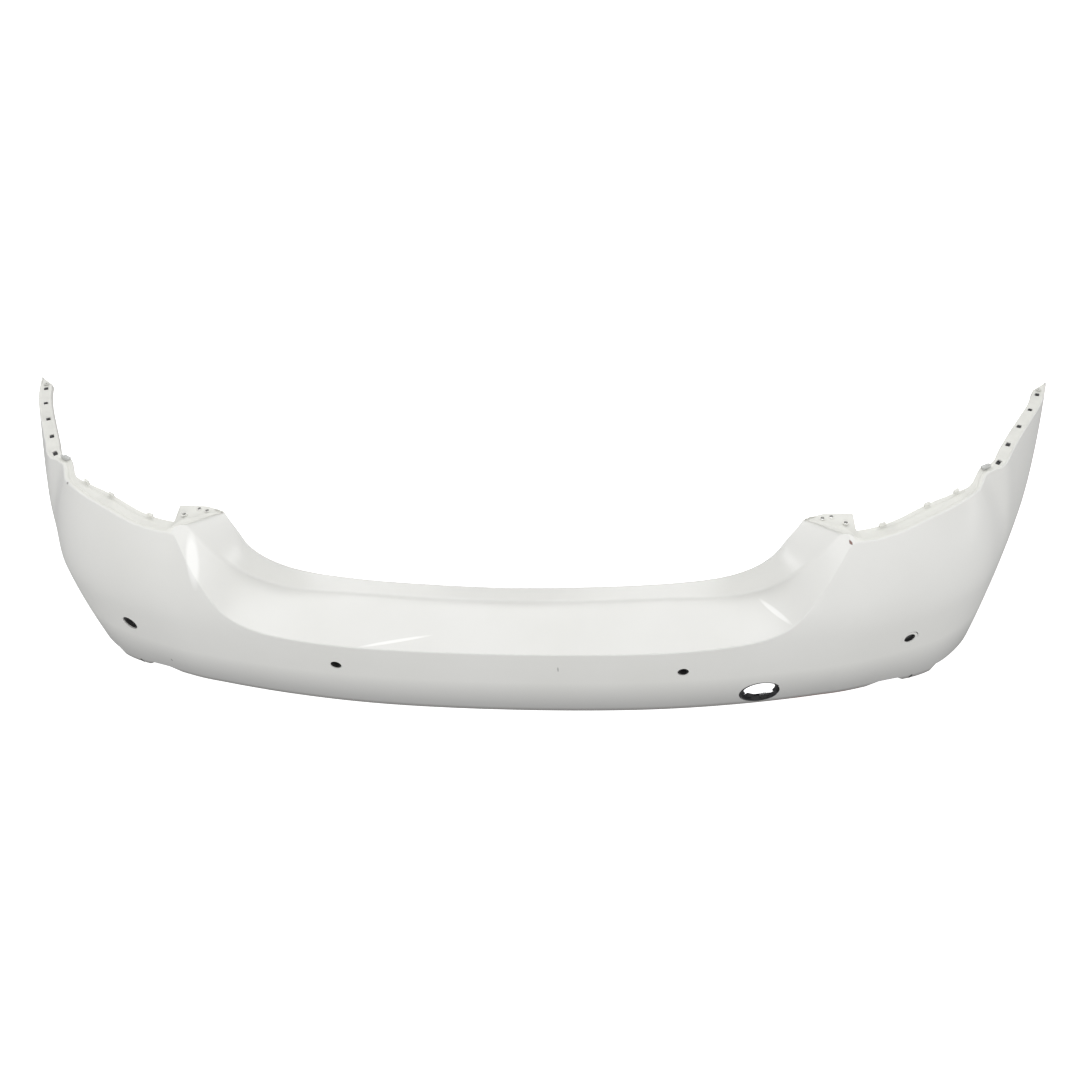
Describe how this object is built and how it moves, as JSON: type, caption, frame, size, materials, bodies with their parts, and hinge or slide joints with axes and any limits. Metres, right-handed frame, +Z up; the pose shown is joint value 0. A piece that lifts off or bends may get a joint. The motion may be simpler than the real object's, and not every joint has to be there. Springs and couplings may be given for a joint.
{
  "type": "bumper cover",
  "caption": "Rear bumper cover for a large saloon: a thin painted moulding with a load shelf, forward arms, parking sensor holders and a towing eye opening.",
  "frame": {"origin": "bottom centre of the box around the whole cover, on the floor it stands on", "axes": "+X to the right seen from behind the car, +Y forward along the arms, +Z up"},
  "size_m": [1.849, 0.5641, 0.3407],
  "materials": {
    "cover_paint": "white paint with clear lacquer over moulded plastic",
    "black_plastic": "moulded, fine grain",
    "seal_rubber": "soft, slightly shiny",
    "bezel_paint": "white paint",
    "frame_plastic": "moulded, fine grain",
    "catch_steel": "plain spring steel",
    "guide_plastic": "moulded",
    "rivet_plastic": "natural plastic",
    "clip_plastic": "grey moulded plastic",
    "nut_plastic": "moulded",
    "nut_steel": "dull phosphate coating"
  },
  "bodies": {
    "root": {"cover_skin": "cover_paint", "sensor_holder_outer_left": "black_plastic", "sensor_holder_inner_left": "black_plastic", "sensor_holder_inner_right": "black_plastic", "sensor_holder_outer_right": "black_plastic", "sensor_seal_outer_left": "seal_rubber", "sensor_seal_inner_left": "seal_rubber", "sensor_seal_inner_right": "seal_rubber", "sensor_seal_outer_right": "seal_rubber", "sensor_bezel_outer_right": "bezel_paint", "tow_eye_frame": "frame_plastic", "tow_eye_catch": "catch_steel", "quarter_guide_left": "guide_plastic", "quarter_guide_right": "guide_plastic", "tip_rivet_left": "rivet_plastic", "tip_rivet_right": "rivet_plastic", "lamp_corner_clip_left": "clip_plastic", "lamp_corner_clip_right": "clip_plastic", "corner_clip_nut_left": "nut_plastic", "corner_clip_nut_right": "nut_plastic", "lower_edge_clip_nuts": "nut_steel"}
  },
  "joints": []
}
